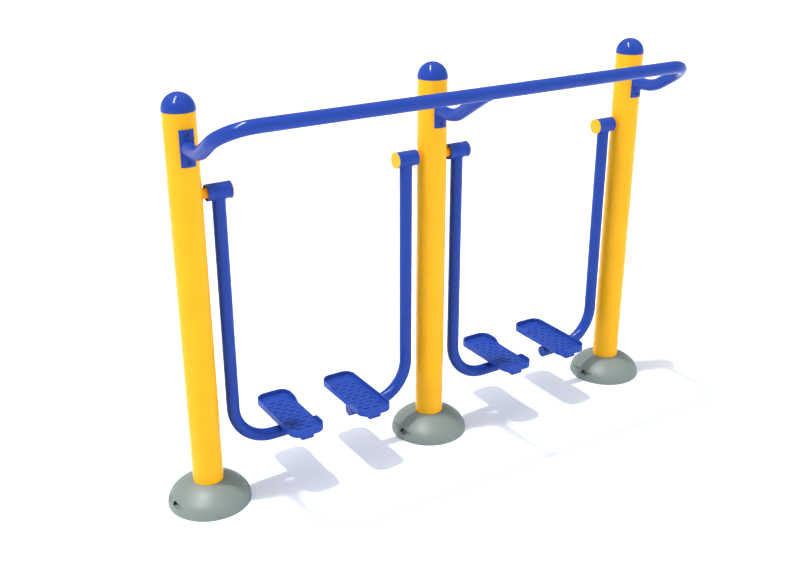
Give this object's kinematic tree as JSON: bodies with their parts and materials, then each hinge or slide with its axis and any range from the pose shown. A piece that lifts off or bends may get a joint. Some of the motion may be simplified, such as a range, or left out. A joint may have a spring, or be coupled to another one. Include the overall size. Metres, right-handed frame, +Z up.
{
  "type": "outdoor air walker",
  "caption": "Outdoor fitness air walker: round posts with domed feet carry a handrail and swinging J-shaped legs with tray pedals, arranged as side-by-side walking stations.",
  "frame": {"origin": "on the ground under the middle post's axis", "axes": "+X along the row of posts to the right as seen from the handrail side, +Z up, -Y towards the handrail"},
  "size_m": [2.295, 0.554, 1.546],
  "materials": {
    "post_paint": "gloss yellow powder coat on steel tube",
    "cap_paint": "gloss blue powder coat on a cast cap",
    "axle_paint": "gloss yellow powder coat on the stub, bare journal",
    "hub_cap_plastic": "gloss yellow moulded cap",
    "rail_paint": "gloss blue powder coat on steel tube",
    "plate_paint": "gloss blue powder coat on formed plate",
    "leg_paint": "gloss blue powder coat on steel tube",
    "pedal_paint": "gloss blue powder coat on a cast tray",
    "cover_plastic": "smooth grey moulded plastic",
    "galvanised_steel": "galvanised steel plate",
    "black_steel": "black oxide socket screws",
    "zinc_steel": "zinc plated steel",
    "bearing_steel": "ground bearing steel with a black seal"
  },
  "bodies": {
    "frame": {"left_post": "post_paint", "left_post_cap": "cap_paint", "left_base_plate": "galvanised_steel", "left_front_base_cover": "cover_plastic", "left_rear_base_cover": "cover_plastic", "left_rail_plate": "plate_paint", "left_axle": "axle_paint", "middle_post": "post_paint", "middle_post_cap": "cap_paint", "middle_base_plate": "galvanised_steel", "middle_front_base_cover": "cover_plastic", "middle_rear_base_cover": "cover_plastic", "middle_rail_plate": "plate_paint", "middle_axle": "axle_paint", "right_post": "post_paint", "right_post_cap": "cap_paint", "right_base_plate": "galvanised_steel", "right_front_base_cover": "cover_plastic", "right_rear_base_cover": "cover_plastic", "right_rail_plate": "plate_paint", "right_axle": "axle_paint", "base_gussets": "post_paint", "base_cover_screws": "black_steel", "base_cover_nuts": "zinc_steel", "handrail": "rail_paint", "rail_support_arm": "rail_paint", "rail_plate_bolts": "plate_paint", "rail_weld_nuts": "zinc_steel", "bearing_inner_rings": "bearing_steel", "bearing_spacers": "zinc_steel", "axle_washers": "zinc_steel", "axle_nuts": "zinc_steel"},
    "station_1_left_leg_assembly": {"station_1_left_hub": "leg_paint", "station_1_left_bearing_outer_rings": "bearing_steel", "station_1_left_hub_cap": "hub_cap_plastic", "station_1_left_leg": "leg_paint", "station_1_left_pedal_bracket": "leg_paint", "station_1_left_pedal": "pedal_paint", "station_1_left_pedal_bolts": "zinc_steel"},
    "station_1_right_leg_assembly": {"station_1_right_hub": "leg_paint", "station_1_right_bearing_outer_rings": "bearing_steel", "station_1_right_hub_cap": "hub_cap_plastic", "station_1_right_leg": "leg_paint", "station_1_right_pedal_bracket": "leg_paint", "station_1_right_pedal": "pedal_paint", "station_1_right_pedal_bolts": "zinc_steel"},
    "station_2_left_leg_assembly": {"station_2_left_hub": "leg_paint", "station_2_left_bearing_outer_rings": "bearing_steel", "station_2_left_hub_cap": "hub_cap_plastic", "station_2_left_leg": "leg_paint", "station_2_left_pedal_bracket": "leg_paint", "station_2_left_pedal": "pedal_paint", "station_2_left_pedal_bolts": "zinc_steel"},
    "station_2_right_leg_assembly": {"station_2_right_hub": "leg_paint", "station_2_right_bearing_outer_rings": "bearing_steel", "station_2_right_hub_cap": "hub_cap_plastic", "station_2_right_leg": "leg_paint", "station_2_right_pedal_bracket": "leg_paint", "station_2_right_pedal": "pedal_paint", "station_2_right_pedal_bolts": "zinc_steel"}
  },
  "joints": [
    {"name": "station_1_left_swing", "type": "hinge", "parent": "frame", "child": "station_1_left_leg_assembly", "pos_m": [-0.875, 0, 1.192], "axis": [1, 0, 0], "range_deg": [-45, 45]},
    {"name": "station_1_right_swing", "type": "hinge", "parent": "frame", "child": "station_1_right_leg_assembly", "pos_m": [-0.117, 0, 1.192], "axis": [1, 0, 0], "range_deg": [-45, 45]},
    {"name": "station_2_left_swing", "type": "hinge", "parent": "frame", "child": "station_2_left_leg_assembly", "pos_m": [0.117, 0, 1.192], "axis": [1, 0, 0], "range_deg": [-45, 45]},
    {"name": "station_2_right_swing", "type": "hinge", "parent": "frame", "child": "station_2_right_leg_assembly", "pos_m": [0.875, 0, 1.192], "axis": [1, 0, 0], "range_deg": [-45, 45]}
  ]
}
